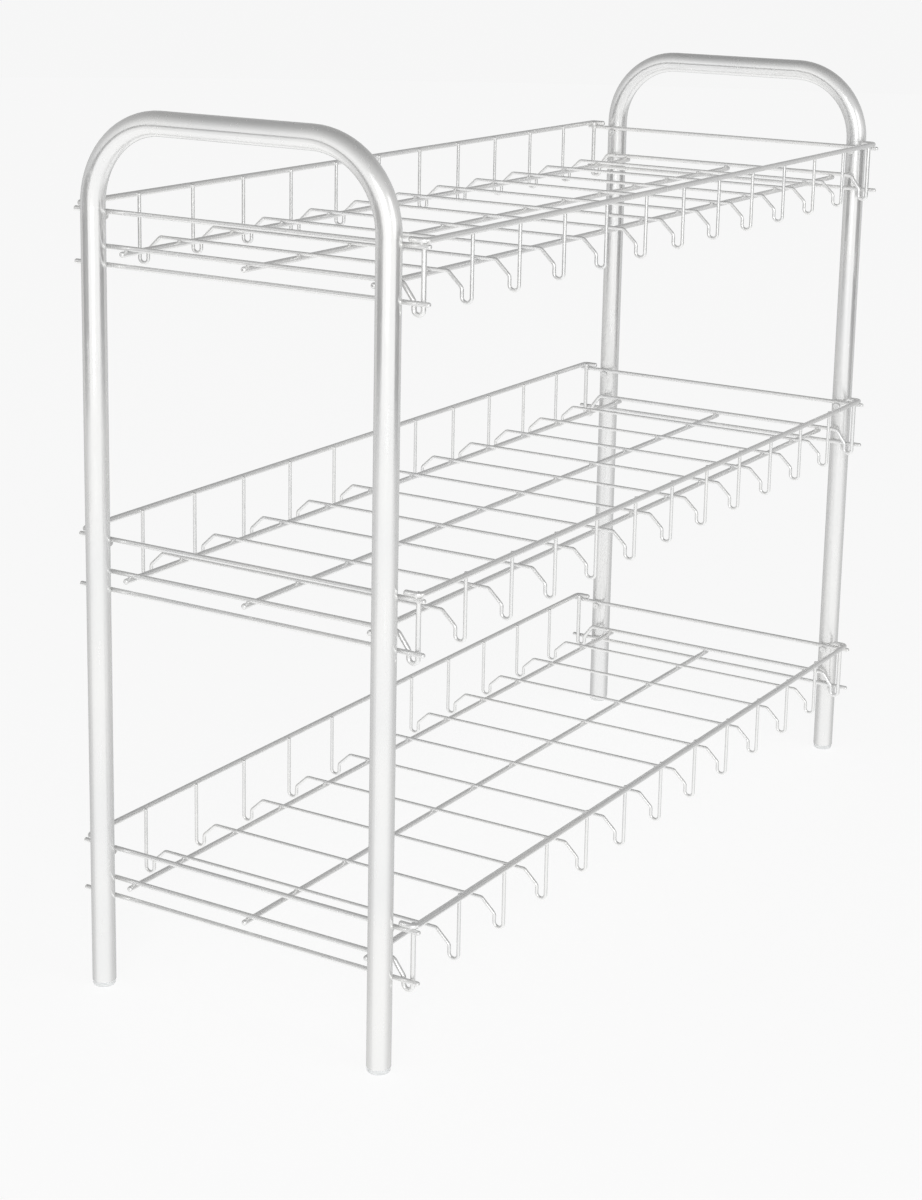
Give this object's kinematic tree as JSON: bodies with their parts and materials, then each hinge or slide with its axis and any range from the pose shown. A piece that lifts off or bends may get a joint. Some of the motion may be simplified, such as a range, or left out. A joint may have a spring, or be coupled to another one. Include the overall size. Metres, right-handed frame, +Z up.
{
  "type": "tiered shoe rack",
  "caption": "Free-standing shoe rack: bent-tube side frames with handle tops carry welded wire trays with hooked cross wires and upright sides.",
  "frame": {"origin": "on the floor, in the middle of the rack's outline", "axes": "+X along the rack to the right, +Y towards the back, +Z up"},
  "size_m": [0.9, 0.336, 0.74],
  "materials": {
    "tube_enamel": "gloss white enamel on steel tube",
    "wire_enamel": "gloss white enamel on steel wire",
    "pin_enamel": "white enamel on steel pin",
    "foot_plastic": "pale translucent polythene"
  },
  "bodies": {
    "root": {"back_left_foot": "foot_plastic", "back_right_foot": "foot_plastic", "bottom_back_floor_rail": "wire_enamel", "bottom_back_top_rail": "wire_enamel", "bottom_centre_floor_rail": "wire_enamel", "bottom_cross_wires": "wire_enamel", "bottom_front_floor_rail": "wire_enamel", "bottom_front_top_rail": "wire_enamel", "bottom_left_floor_end_wire": "wire_enamel", "bottom_left_lower_end_wire": "wire_enamel", "bottom_left_upper_end_wire": "wire_enamel", "bottom_right_floor_end_wire": "wire_enamel", "bottom_right_lower_end_wire": "wire_enamel", "bottom_right_upper_end_wire": "wire_enamel", "bottom_support_pins": "pin_enamel", "front_left_foot": "foot_plastic", "front_right_foot": "foot_plastic", "left_side_frame": "tube_enamel", "middle_back_floor_rail": "wire_enamel", "middle_back_top_rail": "wire_enamel", "middle_centre_floor_rail": "wire_enamel", "middle_cross_wires": "wire_enamel", "middle_front_floor_rail": "wire_enamel", "middle_front_top_rail": "wire_enamel", "middle_left_floor_end_wire": "wire_enamel", "middle_left_lower_end_wire": "wire_enamel", "middle_left_upper_end_wire": "wire_enamel", "middle_right_floor_end_wire": "wire_enamel", "middle_right_lower_end_wire": "wire_enamel", "middle_right_upper_end_wire": "wire_enamel", "middle_support_pins": "pin_enamel", "right_side_frame": "tube_enamel", "top_back_floor_rail": "wire_enamel", "top_back_top_rail": "wire_enamel", "top_centre_floor_rail": "wire_enamel", "top_cross_wires": "wire_enamel", "top_front_floor_rail": "wire_enamel", "top_front_top_rail": "wire_enamel", "top_left_floor_end_wire": "wire_enamel", "top_left_lower_end_wire": "wire_enamel", "top_left_upper_end_wire": "wire_enamel", "top_right_floor_end_wire": "wire_enamel", "top_right_lower_end_wire": "wire_enamel", "top_right_upper_end_wire": "wire_enamel", "top_support_pins": "pin_enamel"}
  },
  "joints": []
}
